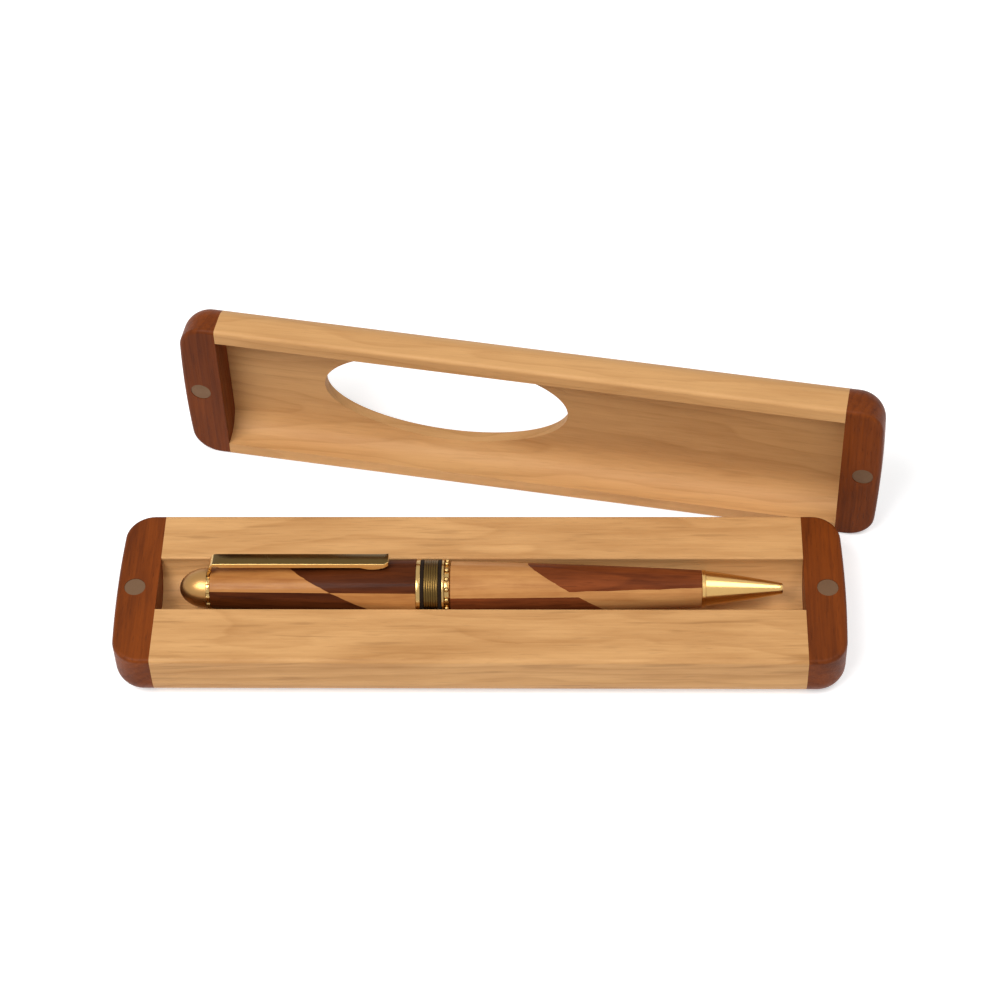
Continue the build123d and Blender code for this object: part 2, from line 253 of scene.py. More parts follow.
def rounded(start, end, inner, outer, softness, steps=4):
    """Profile of a hollow ring whose two outer edges are rounded."""
    points = [(start, inner), (start, outer - softness)]
    for number in range(1, steps + 1):
        angle = pi / 2 * number / steps
        points.append((start + softness * (1 - cos(angle)), outer - softness * (1 - sin(angle))))
    for number in range(steps + 1):
        angle = pi / 2 * number / steps
        points.append((end - softness * (1 - sin(angle)), outer - softness * (1 - cos(angle))))
    points.append((end, inner))
    return points


def copied(piece, name):
    """A copy with its own mesh."""
    select_only(piece)
    bpy.ops.object.duplicate()
    copy = bpy.context.object
    copy.name = name
    return copy


def keep_side(piece, point, normal):
    """Cuts a closed piece at a plane and keeps what lies behind the plane's normal."""
    edit(piece)
    bpy.ops.mesh.bisect(plane_co=point, plane_no=normal, use_fill=True, clear_outer=True)
    bpy.ops.object.mode_set(mode="OBJECT")


def apply_modifier(piece, kind, **settings):
    select_only(piece)
    modifier = piece.modifiers.new(kind.lower(), kind)
    for key, value in settings.items():
        setattr(modifier, key, value)
    bpy.ops.object.modifier_apply(modifier=modifier.name)


def put_in_pen(piece):
    """Turns a piece that was modelled on the X axis back into its place in the groove."""
    select_only(piece)
    piece.matrix_world = PEN_PLACE @ piece.matrix_world
    bpy.ops.object.transform_apply(location=True, rotation=True, scale=True)


def finish_piece(piece, material, body, slot, *nodes, smooth_angle=35):
    """Tidies a pen piece, puts it in place, gives it its material, ties it to its body and hides the CAD
    nodes it stands for.
    """
    tidy_mesh(piece, smooth_angle)
    put_in_pen(piece)
    piece.data.materials.clear()
    piece.data.materials.append(material)
    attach(piece, body)
    if nodes:
        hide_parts(*nodes)


# Material helpers

class Shading:
    """The node tree of one material."""

    def __init__(self, name):
        self.material = bpy.data.materials.new(name)
        self.material.use_nodes = True
        self.tree = self.material.node_tree
        self.shader = self.tree.nodes["Principled BSDF"]

    def add(self, kind, inputs=None, **settings):
        """Adds a node, sets what is given and returns its first output."""
        node = self.tree.nodes.new("ShaderNode" + kind)
        for key, value in settings.items():
            setattr(node, key, value)
        for key, value in (inputs or {}).items():
            self.give(node.inputs[key], value)
        return node.outputs[0]

    def give(self, socket, value):
        if isinstance(value, bpy.types.NodeSocket):
            self.tree.links.new(value, socket)
        else:
            socket.default_value = value

    def math(self, operation, first, second=0.0, clamp=False):
        return self.add("Math", {0: first, 1: second}, operation=operation, use_clamp=clamp)

    def mix(self, amount, first, second, blend="MIX"):
        """Mixes two colours."""
        node = self.tree.nodes.new("ShaderNodeMix")
        node.data_type = "RGBA"
        node.blend_type = blend
        self.give(node.inputs[0], amount)
        self.give(node.inputs[6], first)
        self.give(node.inputs[7], second)
        return node.outputs[2]

    def ramp(self, value, *stops):
        """Maps a value through (position, level) stops to a grey."""
        node = self.tree.nodes.new("ShaderNodeValToRGB")
        elements = node.color_ramp.elements
        elements[0].position = stops[0][0]
        elements[-1].position = stops[-1][0]
        for position, _ in stops[1:-1]:
            elements.new(position)
        for element, (_, level) in zip(elements, stops):
            element.color = (level, level, level, 1)
        self.give(node.inputs[0], value)
        return node.outputs[0]

    def stretched_noise(self, place, stretch, detail=3.0, roughness=0.5):
        """Noise on coordinates in millimetres, with its own ripples per millimetre along each axis."""
        scaled = self.add("VectorMath", {0: place, 1: stretch}, operation="MULTIPLY")
        return self.add(
            "TexNoise", {"Vector": scaled, "Scale": 1.0, "Detail": detail, "Roughness": roughness},
        )

    def bump(self, height, distance, strength=1.0):
        normal = self.add("Bump", {"Height": height, "Distance": distance, "Strength": strength})
        self.give(self.shader.inputs["Normal"], normal)

    def set(self, **values):
        """Sets the shader's own sockets, given with underscores for spaces."""
        for key, value in values.items():
            self.give(self.shader.inputs[key.replace("_", " ")], value)


def opaque(colour):
    return (colour[0], colour[1], colour[2], 1)


def tinted(colour, tint):
    return [channel * share for channel, share in zip(colour, tint)]


def darker(colour, share):
    """The colour at a share of its brightness, opaque."""
    return opaque([share * channel for channel in colour])


class WoodLook(NamedTuple):
    """How a wood is figured and polished. Ripples are per millimetre, along the grain first."""
    # distance between growth lines, and how far they wander, in millimetres
    growth_gap: float
    figure: float
    # how strongly each kind of mark shows, from 0 to 1
    lines: float
    streaks: float
    fibres: float
    dashes: float
    pores: float
    # how long and how wide the streaks are
    streak_ripples: tuple
    # the polish, and the depth of fibres and pores in millimetres
    roughness: float
    gloss: float
    coat: float
    relief: float


def wood(name, light, dark, grain, look):
    """Solid wood: growth lines round the tree's heart, broad streaks, fibres, dark dashes and pores.

    grain is (turn, heart): the turn that brings the grain onto X, and the heart's place in millimetres.
    """
    turn, heart = grain
    fibre_ripples = (0.04, 1.7, 1.7)
    dash_ripples = (0.05, 0.75, 0.75)
    pore_ripples = (0.25, 3.6, 3.6)
    shading = Shading(name)
    place = in_millimetres(shading, turn, heart)
    # growth lines, as distance from the heart that wanders along the board
    wander = shading.stretched_noise(place, (0.012, 0.05, 0.05), detail=2.0)
    ripple = shading.stretched_noise(place, (0.03, 0.2, 0.2))
    radius = distance_from_grain_axis(shading, place)
    radius = shading.math("ADD", radius, shading.math("MULTIPLY", wander, look.figure))
    radius = shading.math("ADD", radius, shading.math("MULTIPLY", ripple, 0.7 * look.growth_gap))
    growth = shading.math("FRACT", shading.math("DIVIDE", radius, look.growth_gap))
    lines = shading.ramp(growth, (0.0, 0.1), (0.3, 0.0), (0.75, 0.55), (0.92, 1.0), (1.0, 0.1))
    # the marks that run along the grain
    streaks = shading.stretched_noise(place, look.streak_ripples, detail=4.0, roughness=0.6)
    streaks = shading.ramp(streaks, (0.36, 0.0), (0.66, 1.0))
    fibres = shading.stretched_noise(place, fibre_ripples, detail=4.0, roughness=0.6)
    fibres = shading.ramp(fibres, (0.3, 0.0), (0.7, 1.0))
    dashes = shading.stretched_noise(place, dash_ripples, detail=2.0)
    dashes = shading.ramp(dashes, (0.6, 0.0), (0.72, 1.0))
    pores = shading.stretched_noise(place, pore_ripples, detail=2.0)
    pores = shading.ramp(pores, (0.6, 0.0), (0.74, 1.0))
    # the colour, from light wood to dark, with dashes and pores darker still
    tone = shading.math("MULTIPLY", lines, look.lines)
    tone = shading.math("ADD", tone, shading.math("MULTIPLY", streaks, look.streaks))
    tone = shading.math("ADD", tone, shading.math("MULTIPLY", fibres, look.fibres), clamp=True)
    colour = shading.mix(tone, opaque(light), opaque(dark))
    dash_share = shading.math("MULTIPLY", dashes, look.dashes)
    colour = shading.mix(dash_share, colour, darker(dark, 0.7))
    pore_share = shading.math("MULTIPLY", pores, look.pores)
    colour = shading.mix(pore_share, colour, darker(dark, 0.4))
    # the polish, a little rougher on the fibres
    shine = shading.add(
        "MapRange", {"Value": fibres, "To Min": look.roughness, "To Max": look.roughness + 0.12},
    )
    shading.set(
        Base_Color=colour, Roughness=shine, Specular_IOR_Level=look.gloss, Coat_Weight=look.coat,
        Coat_Roughness=0.09, Coat_IOR=1.4,
    )
    raised = shading.math("MULTIPLY", fibres, 0.5)
    sunk = shading.math("MULTIPLY", pores, 0.7)
    shading.bump(shading.math("SUBTRACT", raised, sunk), look.relief * MM)
    return shading.material


def distance_from_grain_axis(shading, place):
    """Distance of a place from the X axis."""
    split = shading.tree.nodes.new("ShaderNodeSeparateXYZ")
    shading.give(split.inputs[0], place)
    across = shading.add("CombineXYZ", {"Y": split.outputs[1], "Z": split.outputs[2]})
    length = shading.tree.nodes.new("ShaderNodeVectorMath")
    length.operation = "LENGTH"
    shading.give(length.inputs[0], across)
    return length.outputs[1]


def object_coordinates(shading):
    coordinates = shading.tree.nodes.new("ShaderNodeTexCoord")
    return coordinates.outputs["Object"]


def in_millimetres(shading, turn=(0, 0, 0), shift=(0, 0, 0)):
    """Object coordinates in millimetres, turned and shifted to suit a pattern."""
    return shading.add("Mapping", {
        "Vector": object_coordinates(shading), "Scale": (1 / MM, 1 / MM, 1 / MM), "Rotation": turn,
        "Location": shift,
    })


def metal(name, colour, roughness, scratches, mark_ripples=(6, 6, 6)):
    """Metal with slightly uneven polish and fine tool marks, which have their ripples per millimetre."""
    shading = Shading(name)
    place = in_millimetres(shading)
    haze = shading.stretched_noise(place, (0.5, 0.5, 0.5), roughness=0.6)
    marks = shading.stretched_noise(place, mark_ripples, detail=4.0, roughness=0.7)
    uneven = shading.math("ADD", shading.math("MULTIPLY", haze, 0.6), shading.math("MULTIPLY", marks, 0.4))
    roughest = roughness + 0.4 * scratches
    shine = shading.add("MapRange", {
        "Value": uneven, "From Min": 0.35, "From Max": 0.7, "To Min": roughness, "To Max": roughest,
    })
    tint = shading.mix(shading.math("MULTIPLY", haze, 0.35), opaque(colour), darker(colour, 0.72))
    shading.set(Base_Color=tint, Metallic=1.0, Roughness=shine)
    shading.bump(marks, 0.01 * MM * scratches)
    return shading.material


def enamel(name, colour, roughness, coat):
    """Smooth hard finish, such as enamel or moulded plastic, with a faint orange peel."""
    shading = Shading(name)
    peel = shading.stretched_noise(in_millimetres(shading), (1.8, 1.8, 1.8))
    paler = opaque([1.6 * channel + 0.004 for channel in colour])
    tint = shading.mix(peel, opaque(colour), paler)
    shine = shading.math("ADD", shading.math("MULTIPLY", peel, 0.1), roughness)
    shading.set(
        Base_Color=tint, Roughness=shine, Specular_IOR_Level=0.02, Coat_Weight=coat, Coat_Roughness=0.05,
    )
    shading.bump(peel, 0.004 * MM)
    return shading.material


def dress(node, material):
    """Gives a CAD node its finish."""
    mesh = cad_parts[node].data
    mesh.materials.clear()
    mesh.materials.append(material)


# One operator for each piece or group of like pieces

class PENCASE_OT_case_woods(bpy.types.Operator):
    """Gives the base, the lid and their end blocks solid grain that runs as in the real boards"""
    bl_idname = "pencase.case_woods"
    bl_label = "Case woods"

    def execute(self, context):
        woods = context.scene.pencase_woods
        gap = woods.growth_gap / MM
        base_look = WoodLook(
            growth_gap=gap, figure=14, lines=0.3, streaks=0.6, fibres=0.22, dashes=0.42, pores=0.12,
            streak_ripples=(0.02, 0.15, 0.15), roughness=0.48, gloss=0.2, coat=0.0, relief=0.04,
        )
        lid_look = WoodLook(
            growth_gap=1.3 * gap, figure=16, lines=0.3, streaks=0.48, fibres=0.2, dashes=0.16, pores=0.1,
            streak_ripples=(0.012, 0.07, 0.07), roughness=0.48, gloss=0.2, coat=0.0, relief=0.04,
        )
        # each grain's slope to its board, and the heart's place beside the board
        light, dark = woods.maple_light, woods.maple_dark
        base_slope = radians(1.5)
        base_grain = ((0, base_slope, 0), (0, -6, 44))
        dress("base_body", wood("maple_base", light, dark, base_grain, base_look))
        lid_slope = radians(3.0)
        lid_grain = ((0, 0, -LID_TURN - lid_slope), (0, -63, -10))
        dress("lid_body", wood("maple_lid", light, dark, lid_grain, lid_look))
        rosewood = WoodLook(
            growth_gap=2.1, figure=7, lines=0.22, streaks=0.5, fibres=0.25, dashes=0.3, pores=0.4,
            streak_ripples=(0.025, 0.12, 0.12), roughness=0.4, gloss=0.1, coat=0.0, relief=0.04,
        )
        light, dark = woods.rosewood_light, woods.rosewood_dark
        across = radians(90)
        for name, grain in (
            ("base_end_left", ((0, 0, across), (14, 60, 25))),
            ("base_end_right", ((0, 0, across), (-30, -70, 12))),
            ("lid_end_left", ((0, across, 0), (20, 34, 55))),
            ("lid_end_right", ((0, across, 0), (-10, -45, 60))),
        ):
            dress(name, wood(name + "_rosewood", light, dark, grain, rosewood))
        return {"FINISHED"}


class PENCASE_OT_magnets(bpy.types.Operator):
    """Gives the disc magnets their dull nickel plate"""
    bl_idname = "pencase.magnets"
    bl_label = "Magnets"

    def execute(self, context):
        nickel = context.scene.pencase_fittings.magnet
        material = metal("magnet_nickel", nickel, roughness=0.45, scratches=0.5, mark_ripples=(3, 3, 3))
        for name in ("base_magnet_left", "base_magnet_right", "lid_magnet_left", "lid_magnet_right"):
            dress(name, material)
        return {"FINISHED"}


class PENCASE_OT_barrels(bpy.types.Operator):
    """Turns the pen's two barrels and cuts each into its four lacquered woods"""
    bl_idname = "pencase.barrels"
    bl_label = "Barrels"

    swell: FloatProperty(
        name="Swell", description="How far a barrel's side bulges from a straight taper",
        subtype="DISTANCE", unit="LENGTH", default=0.00025,
    )

    def barrel(self, name, start, end, start_radius, end_radius):
        steps = 24
        soft = 0.12 * MM
        outside = []
        for number in range(steps + 1):
            share = number / steps
            radius = start_radius + (end_radius - start_radius) * share + 4 * self.swell * share * (1 - share)
            outside.append((start + (end - start) * share, radius))
        outside[0] = (start + soft, outside[0][1])
        outside[-1] = (end - soft, outside[-1][1])
        profile = [(start, TUBE_RADIUS), (start, start_radius - soft), *outside, (end, end_radius - soft)]
        return turned(name, [*profile, (end, TUBE_RADIUS)], hollow=True)

    def cut(self, label, body, barrel, oblique, left_seam, right_seam, maple, rosewood):
        """Cuts a barrel at the oblique glue line and along its length, and dresses the four woods."""
        point, normal = oblique
        for name, side, seam, above, material in (
            ("maple_rear", 1, left_seam, True, maple),
            ("rosewood_front", 1, left_seam, False, rosewood),
            ("rosewood_rear", -1, right_seam, True, rosewood),
            ("maple_front", -1, right_seam, False, maple),
        ):
            piece = copied(barrel, f"{label}_{name}_wood")
            keep_side(piece, point, normal * side)
            seam_point, seam_normal = seam
            keep_side(piece, seam_point, -seam_normal if above else seam_normal)
            slot = "pen_maple" if "maple" in name else "pen_rosewood"
            finish_piece(piece, material, body, slot, f"{label}_{name}")
        bpy.data.objects.remove(barrel)

    def execute(self, context):
        woods = context.scene.pencase_woods
        maple_look = WoodLook(
            growth_gap=1.9, figure=5, lines=0.25, streaks=0.5, fibres=0.25, dashes=0.2, pores=0.1,
            streak_ripples=(0.07, 0.3, 0.3), roughness=0.36, gloss=0.1, coat=0.1, relief=0.004,
        )
        rosewood_look = WoodLook(
            growth_gap=1.4, figure=4, lines=0.3, streaks=0.5, fibres=0.3, dashes=0.35, pores=0.35,
            streak_ripples=(0.04, 0.35, 0.35), roughness=0.36, gloss=0.04, coat=0.05, relief=0.004,
        )
        maple_grain = ((0, 0, 0), (9, 21, 16))
        rosewood_grain = ((0, 0, 0), (-12, -14, 19))
        maples = []
        rosewoods = []
        for name, maple_tint, rosewood_tint in (
            ("upper", (0.83, 0.75, 0.62), (0.62, 0.58, 0.45)),
            ("lower", (0.97, 0.97, 0.95), (1.4, 1.35, 1.15)),
        ):
            maples.append(wood(
                f"{name}_maple_lacquered", tinted(woods.pen_maple_light, maple_tint),
                tinted(woods.pen_maple_dark, maple_tint), maple_grain, maple_look,
            ))
            rosewoods.append(wood(
                f"{name}_rosewood_lacquered", tinted(woods.pen_rosewood_light, rosewood_tint),
                tinted(woods.pen_rosewood_dark, rosewood_tint), rosewood_grain, rosewood_look,
            ))
        upper_start = node_span("clip_ring")[1]
        upper_end = node_span("centre_band")[0]
        upper_end_radius = 7.0 * MM
        upper_cut_share = 0.63
        upper = self.barrel("upper_blank", upper_start, upper_end, CLIP_RING_RADIUS, upper_end_radius)
        cut_x = upper_start + upper_cut_share * (upper_end - upper_start)
        oblique = glue_plane(cut_x, angle=25.6, turn=-17)
        seam = glue_plane(cut_x, angle=0, turn=-27)
        self.cut("upper_barrel", "pen_upper", upper, oblique, seam, seam, maples[0], rosewoods[0])
        lower_start, lower_end = node_span("lower_tube")
        lower_start_radius = 6.5 * MM
        lower_end_radius = 4.4 * MM
        lower_cut_share = 0.482
        lower = self.barrel("lower_blank", lower_start, lower_end, lower_start_radius, lower_end_radius)
        cut_x = lower_start + lower_cut_share * (lower_end - lower_start)
        oblique = glue_plane(cut_x, angle=30, turn=-25)
        left_seam = glue_plane(cut_x, angle=0, turn=-15.5)
        right_seam = glue_plane(cut_x, angle=-1.6, turn=-28)
        self.cut("lower_barrel", "pen_lower", lower, oblique, left_seam, right_seam, maples[1], rosewoods[1])
        return {"FINISHED"}


def glue_plane(x, angle, turn):
    """Point and normal of a glue line that crosses the pen's axis at x.

    angle is its angle to the axis, and turn its turn round the axis, both in degrees.
    """
    across = Vector((0, -sin(radians(turn)), cos(radians(turn))))
    return Vector((x, 0, 0)), Vector((sin(radians(angle)), 0, 0)) + across * cos(radians(angle))


def gold_material(context, name="gold_plate", tint=(1.0, 1.0, 1.0), roughness=0.16):
    """Gold plate, made once for each name: a tint under 1 or over 1 paints a darker or a brighter reflection
    into it.
    """
    colour = tinted(context.scene.pencase_fittings.gold, tint)
    return bpy.data.materials.get(name) or metal(name, colour, roughness, scratches=0.16)


class PENCASE_OT_finial(bpy.types.Operator):
    """Turns the domed cap and the stub that holds it in the tube"""
    bl_idname = "pencase.finial"
    bl_label = "Finial"

    def execute(self, context):
        tip, stub_end = node_span("finial")
        root = node_span("clip_ring")[0]
        radius = 4.85 * MM
        steps = 16
        profile = []
        for number in range(1, steps + 1):
            angle = pi / 2 * number / steps
            profile.append((root - (root - tip) * cos(angle), radius * sin(angle)))
        profile += [(root, STUB_RADIUS), (stub_end, STUB_RADIUS)]
        piece = turned("finial_dome", profile)
        # a duller, warmer gold that paints the wood's reflection in the dome
        gold = gold_material(context, "finial_gold_painted_wood_reflection", tint=(0.86, 0.72, 0.66), roughness=0.3)
        finish_piece(piece, gold, "pen_upper", "gold", "finial")
        return {"FINISHED"}


class PENCASE_OT_clip_ring(bpy.types.Operator):
    """Turns the ring that traps the clip, knurls it and slots it for the clip's leg"""
    bl_idname = "pencase.clip_ring"
    bl_label = "Clip ring"

    notches: IntProperty(name="Notches", description="Notches round the ring", default=14, min=4, max=60)

    def execute(self, context):
        start, end = node_span("clip_ring")
        notch_depth = 0.25 * MM
        slot_floor = 4.1 * MM
        slot_width = 3.0 * MM
        facets_per_notch = 8
        notch_facets = 3
        facets = facets_per_notch * self.notches
        softness = context.scene.pencase_fittings.arris
        profile = rounded(start, end, RING_BORE, CLIP_RING_RADIUS, softness)
        piece = turned("knurled_ring", profile, hollow=True, segments=facets)

        def outside(place):
            return place.yz.length > CLIP_RING_RADIUS - 2 * softness

        def in_slot(place):
            return outside(place) and abs(place.y) < slot_width / 2 and place.z > 0

        def in_notch(place):
            facet = round(facets * atan2(place.y, place.z) / (2 * pi))
            return outside(place) and not in_slot(place) and facet % facets_per_notch < notch_facets

        edit_where(piece, in_notch)
        inwards = 1 - notch_depth / CLIP_RING_RADIUS
        bpy.ops.transform.resize(value=(1, inwards, inwards), center_override=(start, 0, 0))
        edit_where(piece, in_slot)
        bpy.ops.transform.resize(value=(1, 1, 0), center_override=(start, 0, slot_floor))
        finish_piece(piece, gold_material(context), "pen_upper", "gold", "clip_ring")
        return {"FINISHED"}


class PENCASE_OT_clip(bpy.types.Operator):
    """Bends the clip from a strip: a leg that widens, a long crowned arm, a bump and a turned-up tip"""
    bl_idname = "pencase.clip"
    bl_label = "Clip"

    width: FloatProperty(
        name="Width", description="Width of the clip's arm",
        subtype="DISTANCE", unit="LENGTH", default=0.0042,
    )
    thickness: FloatProperty(
        name="Thickness", description="Thickness of the clip's arm",
        subtype="DISTANCE", unit="LENGTH", default=0.00115,
    )
    crown: FloatProperty(
        name="Crown", description="How far the arm's top rises in its middle",
        subtype="DISTANCE", unit="LENGTH", default=0.00025,
    )
    bump: FloatProperty(
        name="Bump", description="How far the contact bump drops from the arm",
        subtype="DISTANCE", unit="LENGTH", default=0.00051,
    )

    def execute(self, context):
        ring_start, ring_end = node_span("clip_ring")
        tip = node_span("clip")[1]
        # heights above the pen's axis
        top = 8.7 * MM
        leg_bottom = 4.17 * MM
        # the leg, as thick as the ring leaves room for, and what follows it
        leg_gap = 0.1 * MM
        root = ring_start + leg_gap
        leg = ring_end - leg_gap - root
        lean = 1.3 * MM
        neck = 2.6 * MM
        bend = 1.5 * MM
        shoulder = 1.2 * MM
        bump_length = 5.8 * MM
        tip_length = 1.0 * MM
        tip_rise = 0.35 * MM
        tip_width_share = 0.8
        # the leg's foot, as a strip across the pen
        deselect()
        bpy.ops.mesh.primitive_plane_add(size=1, location=(root + leg / 2, 0, leg_bottom))
        piece = bpy.context.object
        piece.name = "clip_strip"
        piece.scale = (leg, neck, 1)
        bpy.ops.object.transform_apply(location=True, rotation=True, scale=True)
        edit(piece, "FACE")

        def extrude(move, widen=1.0):
            bpy.ops.mesh.extrude_region_move(TRANSFORM_OT_translate={"value": move})
            if widen != 1.0:
                bpy.ops.transform.resize(value=(1, widen, 1))

        extrude((0, 0, CLIP_RING_RADIUS - leg_bottom))
        bend_start = top - bend
        rise = bend_start - CLIP_RING_RADIUS
        run = rise * lean / (top - CLIP_RING_RADIUS)
        extrude((run, 0, rise), self.width / neck)
        # the bend, turned about a point under the arm
        bend_x = root + run + bend
        bpy.ops.mesh.spin(
            steps=8, angle=radians(90), center=(bend_x, 0, bend_start), axis=(0, -1, 0), dupli=False,
        )
        # the shoulder, where the strip thickens into the arm
        extrude((shoulder, 0, 0))
        arm_start = bend_x + shoulder
        bpy.ops.transform.resize(value=(1, 1, self.thickness / leg), center_override=(arm_start, 0, top))
        # the arm and its tip
        bump_end = tip - tip_length
        bump_start = bump_end - bump_length
        arm_steps = 8
        bump_steps = 20
        for length, steps in ((bump_start - arm_start, arm_steps), (bump_length, bump_steps)):
            for _ in range(steps):
                extrude((length / steps, 0, 0))
        extrude((tip_length, 0, tip_rise), tip_width_share)
        bpy.ops.object.mode_set(mode="OBJECT")
        tidy_mesh(piece)
        near = 0.01 * MM
        # the arm's crown, row by row, each at a share of the arm's half width
        rows = (-0.8, -0.4, 0, 0.4, 0.8)
        for share in rows:
            edit(piece)
            bpy.ops.mesh.bisect(plane_co=(0, share * self.width / 2, 0), plane_no=(0, 1, 0))
        for share in rows:
            row = share * self.width / 2
            edit_where(piece, lambda place: (
                abs(place.y - row) < near and place.z > top - near and place.x > arm_start - near
            ))
            bpy.ops.transform.translate(value=(0, 0, self.crown * (1 - share ** 2)))
        # the bump under the end of the arm, station by station
        for number in range(1, bump_steps):
            share = 2 * number / bump_steps - 1
            station = bump_start + number * bump_length / bump_steps
            edit_where(piece, lambda place: (
                abs(place.x - station) < near and place.z < top - self.thickness / 2
            ))
            bpy.ops.transform.translate(value=(0, 0, -self.bump * (1 - share ** 2)))
        apply_modifier(
            piece, "BEVEL", width=context.scene.pencase_fittings.arris, segments=3, limit_method="ANGLE",
            angle_limit=radians(50),
        )
        # painted light: a dark gold on the faces that point up paints the dark reflection on the clip's top,
        # and a brighter gold on the rest paints highlights on its edges
        painted_highlight_gold = gold_material(context, "clip_painted_highlight_gold", tint=(1.3, 1.3, 1.3), roughness=0.2)
        painted_dark_reflection_gold = gold_material(context, "clip_painted_dark_reflection_gold", tint=(0.26, 0.25, 0.2), roughness=0.22)
        finish_piece(piece, painted_highlight_gold, "clip", "gold", "clip")
        piece.data.materials.append(painted_dark_reflection_gold)
        # the faces that point up take the painted dark reflection
        upwards = PEN_PLACE.to_quaternion() @ Vector((0, 0, 1))
        least_upwards = 0.92
        for face in piece.data.polygons:
            if face.normal.dot(upwards) > least_upwards:
                face.material_index = 1
        return {"FINISHED"}


class PENCASE_OT_centre_band(bpy.types.Operator):
    """Turns the gold centre band with its black rings, fine ribs and ring of beads"""
    bl_idname = "pencase.centre_band"
    bl_label = "Centre band"

    beads: IntProperty(name="Beads", description="Beads round the band", default=16, min=6, max=40)
    ribs: IntProperty(name="Ribs", description="Fine ribs between the black rings", default=6, min=2, max=20)

    def execute(self, context):
        fittings = context.scene.pencase_fittings
        gold = gold_material(context)
        start, end = node_span("centre_band")
        radius = 7.05 * MM
        shoulder_radius = 6.75 * MM
        end_radius = 6.5 * MM
        groove_depth = 0.6 * MM
        rib_softness = 0.14 * MM
        inlay_depth = 0.12 * MM
        inlay_softness = 0.2 * MM
        bead_ring_wall = 0.4 * MM
        soft = fittings.arris
        left_inlay = node_span("band_inlay_left")
        right_inlay = node_span("band_inlay_right")
        beads_start, beads_end = node_span("beaded_ring")
        bead_radius = (beads_end - beads_start) / 2
        floor = radius - groove_depth
        bead_floor = radius - 2 * bead_radius
        # the band, with one floor under its black rings and ribs and a lower one under the beads
        profile = [(start, RING_BORE)]
        profile += rounded(start, left_inlay[0], floor, radius, soft)[1:]
        profile += rounded(right_inlay[1], beads_start, floor, radius, soft)[:-1]
        profile += [(beads_start, bead_floor), (beads_end, bead_floor), (beads_end, shoulder_radius)]
        profile += [(end, end_radius), (end, RING_BORE)]
        piece = turned("band_gold", profile, hollow=True)
        finish_piece(piece, gold, "pen_upper", "gold", "centre_band")
        # the ribs between the black rings, which share the points of their valleys
        rib_length = (right_inlay[0] - left_inlay[1]) / self.ribs
        ribbed = [(left_inlay[1], floor)]
        for number in range(self.ribs):
            low = left_inlay[1] + number * rib_length
            crown = rounded(low, low + rib_length, floor, radius, rib_softness)[1:-1]
            ribbed += crown if number == 0 else crown[1:]
        ribbed.append((right_inlay[0], floor))
        sleeve = turned("band_ribbed", ribbed, hollow=True)
        # the ribs' gold is darkened to paint the dark reflection they show
        rib_gold_painted_dark = gold_material(context, "rib_gold_painted_dark", tint=(0.24, 0.22, 0.17), roughness=0.28)
        finish_piece(sleeve, rib_gold_painted_dark, "pen_upper", "gold")
        # the black rings
        black = enamel("black_enamel", fittings.inlay, roughness=0.3, coat=0.0)
        inlay_profile = rounded(*left_inlay, floor, radius - inlay_depth, inlay_softness)
        left_ring = turned("band_black_left", inlay_profile, hollow=True)
        right_ring = copied(left_ring, "band_black_right")
        bpy.ops.transform.translate(value=(right_inlay[0] - left_inlay[0], 0, 0))
        finish_piece(left_ring, black, "pen_upper", "black_inlay", "band_inlay_left")
        finish_piece(right_ring, black, "pen_upper", "black_inlay", "band_inlay_right")
        # the ring that carries the beads, and its beads
        bead_ring_profile = rounded(beads_start, beads_end, bead_floor, bead_floor + bead_ring_wall, soft)
        ring = turned("bead_ring", bead_ring_profile, hollow=True)
        deselect()
        step = 2 * pi / self.beads
        out = radius - bead_radius
        bead_share = 0.98
        bpy.ops.mesh.primitive_ico_sphere_add(
            subdivisions=3, radius=bead_share * bead_radius,
            location=((beads_start + beads_end) / 2, -out * sin(step / 2), out * cos(step / 2)),
        )
        beads = bpy.context.object
        bpy.ops.object.transform_apply(location=True, rotation=True, scale=True)
        edit(beads)
        bpy.ops.mesh.spin(
            steps=self.beads - 1, angle=2 * pi - step, center=(0, 0, 0), axis=(1, 0, 0), dupli=True,
        )
        select_only(ring)
        beads.select_set(True)
        bpy.ops.object.join()
        finish_piece(ring, gold, "pen_upper", "gold", "beaded_ring")
        return {"FINISHED"}


class PENCASE_OT_nib(bpy.types.Operator):
    """Turns the nib: a flange, a long swelled cone and a small rounded mouth"""
    bl_idname = "pencase.nib"
    bl_label = "Nib"

    def execute(self, context):
        stub, tip = node_span("nib")
        flange = node_span("lower_tube")[1]
        soft = context.scene.pencase_fittings.arris
        flange_radius = 4.45 * MM
        flange_width = 1.0 * MM
        cone_radius = 4.25 * MM
        cone_swell = 0.15 * MM
        tip_radius = 1.3 * MM
        tip_rounding = 0.1 * MM
        mouth_radius = 1.0 * MM
        mouth_depth = 5.5 * MM
        bore_radius = 1.75 * MM
        bore_depth = 9.0 * MM
        cone = flange + flange_width
        steps = 20
        # the stub in the tube, then the flange
        profile = [(stub, bore_radius), (stub, STUB_RADIUS), (flange, STUB_RADIUS)]
        profile += [(flange, flange_radius - soft), (flange + soft, flange_radius)]
        profile += [(cone - soft, flange_radius), (cone, cone_radius)]
        # the swelled cone, then the mouth and the bore inside
        for number in range(1, steps + 1):
            share = number / steps
            radius = cone_radius + (tip_radius - cone_radius) * share + 4 * cone_swell * share * (1 - share)
            profile.append((cone + (tip - soft - cone) * share, radius))
        profile += [(tip, tip_radius - tip_rounding), (tip, mouth_radius), (tip - mouth_depth, mouth_radius)]
        profile.append((tip - bore_depth, bore_radius))
        piece = turned("nib_cone", profile, hollow=True)
        # a paler, brighter gold that paints the nib's bright highlights
        gold = gold_material(context, "nib_gold_painted_highlight", tint=(1.4, 1.35, 1.3), roughness=0.18)
        finish_piece(piece, gold, "pen_lower", "gold", "nib")
        return {"FINISHED"}


